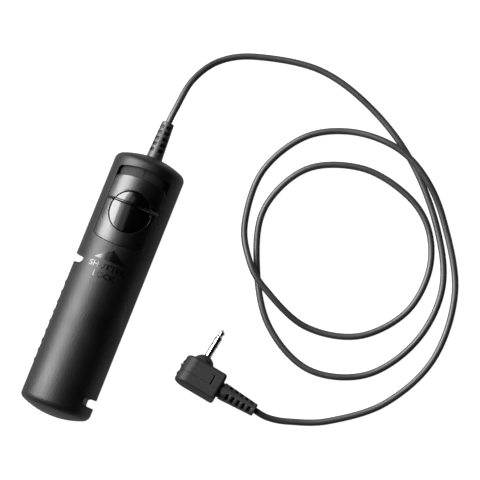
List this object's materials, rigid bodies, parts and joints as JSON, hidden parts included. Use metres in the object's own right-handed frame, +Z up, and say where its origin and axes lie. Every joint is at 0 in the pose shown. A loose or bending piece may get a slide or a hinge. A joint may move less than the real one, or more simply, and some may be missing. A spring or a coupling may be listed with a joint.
{
  "type": "wired remote shutter release",
  "caption": "Round wired remote shutter release: sliding lock plate with a push button, a long thin cord laid in loops, and a right-angle plug with a three-contact pin.",
  "frame": {"origin": "on the table, under the middle of the handle's length and width", "axes": "+Y along the handle towards its cord end, +Z up through the button, +X across the handle"},
  "size_m": [0.13, 0.1484, 0.025],
  "materials": {
    "shell_plastic": "fine-grain matt black",
    "slide_plastic": "satin black",
    "button_gloss": "polished black",
    "inner_plastic": "moulded dark grey",
    "boot_rubber": "soft matt black",
    "cord_jacket": "matt black jacket",
    "plug_plastic": "coarse-grain matt dark grey",
    "plug_nickel": "polished nickel",
    "insulator": "black moulded rings",
    "steel": "zinc plated",
    "spring_steel": "bright drawn wire and strip",
    "leaf_bronze": "rolled phosphor bronze",
    "brass_rivet": "turned brass",
    "board_laminate": "green lacquered laminate",
    "solder": "bright solder",
    "wire_white": "white insulation",
    "wire_red": "red insulation",
    "wire_yellow": "yellow insulation"
  },
  "bodies": {
    "handle": {"front_shell": "shell_plastic", "rear_shell": "shell_plastic", "shell_screws": "steel", "slide_detent_spring": "spring_steel", "detent_screw": "steel", "contact_board": "board_laminate", "board_screws": "steel", "common_leaf": "leaf_bronze", "focus_leaf": "leaf_bronze", "shutter_leaf": "leaf_bronze", "contact_rivets": "brass_rivet", "solder_joints": "solder", "wire_common": "wire_white", "wire_focus": "wire_red", "wire_shutter": "wire_yellow", "cord_clamp": "inner_plastic", "clamp_screws": "steel", "handle_boot": "boot_rubber", "cord": "cord_jacket", "plug_boot": "boot_rubber", "plug_front": "plug_plastic", "plug_rear": "plug_plastic", "plug_sleeve": "plug_nickel", "plug_insulator_outer": "insulator", "plug_ring": "plug_nickel", "plug_insulator_inner": "insulator", "plug_tip": "plug_nickel", "plug_wires": "wire_red"},
    "slider": {"slide_plate": "slide_plastic", "slide_retainer": "inner_plastic", "return_spring": "spring_steel"},
    "button": {"release_button": "button_gloss"}
  },
  "joints": [
    {"name": "lock_slide", "type": "slide", "parent": "handle", "child": "slider", "axis": [0, 1, 0], "range_m": [0, 0.0032], "deforming": ["slide_detent_spring"]},
    {"name": "button_press", "type": "slide", "parent": "slider", "child": "button", "axis": [0, 0, -1], "range_m": [0, 0.0014], "stiffness_N_per_m": 350, "springref_m": -0.001, "deforming": ["return_spring", "common_leaf", "focus_leaf"]}
  ]
}
